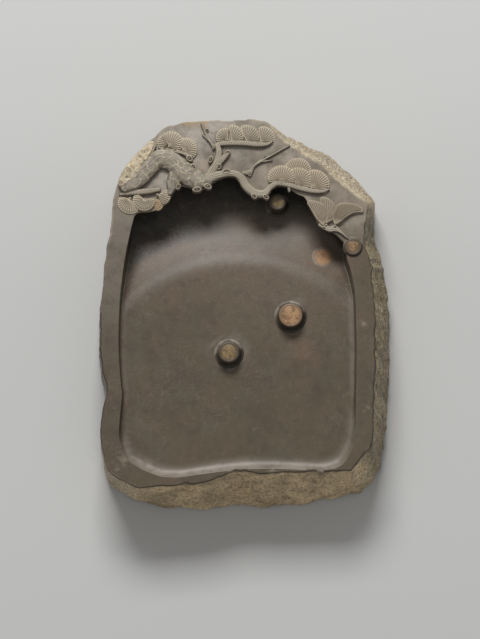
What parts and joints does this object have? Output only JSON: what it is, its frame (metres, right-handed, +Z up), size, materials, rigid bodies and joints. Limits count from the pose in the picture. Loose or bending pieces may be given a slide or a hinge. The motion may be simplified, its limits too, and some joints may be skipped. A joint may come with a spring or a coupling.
{
  "type": "ink stone",
  "caption": "Natural-edged slab ink stone with a sunk grinding hall sloping into an undercut ink pool, round pillars topped by mineral eyes, and a traditional carved pine.",
  "frame": {"origin": "on the resting face, under the middle of the slab's outline", "axes": "+Z up out of the worked top, +Y along the stone towards the carved pine and the ink pool, +X to the right as a writer looks down on it with the pine away from them"},
  "size_m": [0.1644, 0.2178, 0.0402],
  "materials": {
    "worked_stone": "satin",
    "carved_stone": "matte",
    "natural_skin": "matte",
    "eye_stone": "satin"
  },
  "bodies": {
    "root": {"slab": "worked_stone", "hall_pillar_large": "worked_stone", "hall_pillar_small": "worked_stone", "pool_pillar": "worked_stone", "rim_boss": "worked_stone", "hall_eye_large": "eye_stone", "hall_eye_small": "eye_stone", "pool_eye": "eye_stone", "rim_eye": "eye_stone", "slope_eye": "eye_stone", "pine_trunk": "carved_stone", "trunk_burl": "natural_skin", "main_bough": "carved_stone", "upper_bough": "carved_stone", "right_bough": "carved_stone", "top_bough": "carved_stone", "lower_left_bough": "carved_stone", "upper_left_twig": "carved_stone", "left_twig": "carved_stone", "bare_twig": "carved_stone", "tip_twig": "carved_stone", "upper_left_needles": "carved_stone", "lower_left_needles": "carved_stone", "top_needles": "carved_stone", "right_needles": "carved_stone", "back_needles": "carved_stone", "hanging_needles": "carved_stone", "tip_needles": "carved_stone"}
  },
  "joints": []
}
